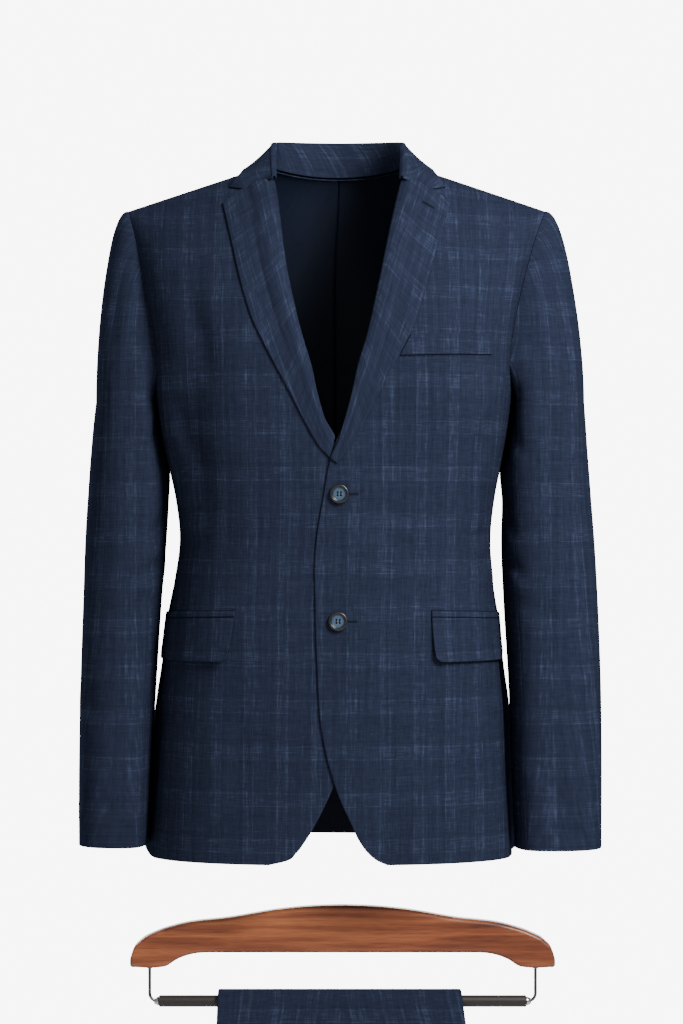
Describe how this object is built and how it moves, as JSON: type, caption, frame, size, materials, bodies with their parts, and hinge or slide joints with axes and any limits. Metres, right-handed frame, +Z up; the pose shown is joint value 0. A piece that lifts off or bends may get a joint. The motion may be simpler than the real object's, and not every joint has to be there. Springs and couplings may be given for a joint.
{
  "type": "two-piece suit with its trousers on a hanger",
  "caption": "Single-breasted notch-lapel jacket in its hollow worn shape, with matching trousers folded over the rod of a plain wooden hanger below it.",
  "frame": {"origin": "between the tops of the collar's two sides, where the wearer's neck carries the jacket", "axes": "+Z up, the jacket's front faces -Y, and the wearer's left is +X"},
  "size_m": [0.5411, 0.256, 1.4914],
  "materials": {
    "suit_cloth": "navy worsted wool with a fine tone-on-tone check",
    "button": "blue-grey polished button with a dark rim",
    "hanger_wood": "red-brown varnished wood",
    "bright_wire": "bright bent wire",
    "rod_sleeve": "dark non-slip sleeve"
  },
  "bodies": {
    "root": {"back_left": "suit_cloth", "back_right": "suit_cloth", "belt_loop_1": "suit_cloth", "belt_loop_2": "suit_cloth", "breast_welt": "suit_cloth", "collar": "suit_cloth", "cuff_button_left_1": "button", "cuff_button_left_2": "button", "cuff_button_left_3": "button", "cuff_button_left_4": "button", "cuff_button_right_1": "button", "cuff_button_right_2": "button", "cuff_button_right_3": "button", "cuff_button_right_4": "button", "front_button_1": "button", "front_button_2": "button", "front_left": "suit_cloth", "front_right": "suit_cloth", "hanger_bar": "hanger_wood", "hanger_rod": "rod_sleeve", "hanger_wire_left": "bright_wire", "hanger_wire_right": "bright_wire", "lapel_left": "suit_cloth", "lapel_right": "suit_cloth", "pocket_flap_left": "suit_cloth", "pocket_flap_right": "suit_cloth", "pocket_jet_left": "suit_cloth", "pocket_jet_right": "suit_cloth", "side_left": "suit_cloth", "side_right": "suit_cloth", "top_sleeve_left": "suit_cloth", "top_sleeve_right": "suit_cloth", "trouser_back_left": "suit_cloth", "trouser_back_right": "suit_cloth", "trouser_front_left": "suit_cloth", "trouser_front_right": "suit_cloth", "under_sleeve_left": "suit_cloth", "under_sleeve_right": "suit_cloth", "waistband_left": "suit_cloth", "waistband_right": "suit_cloth"}
  },
  "joints": []
}
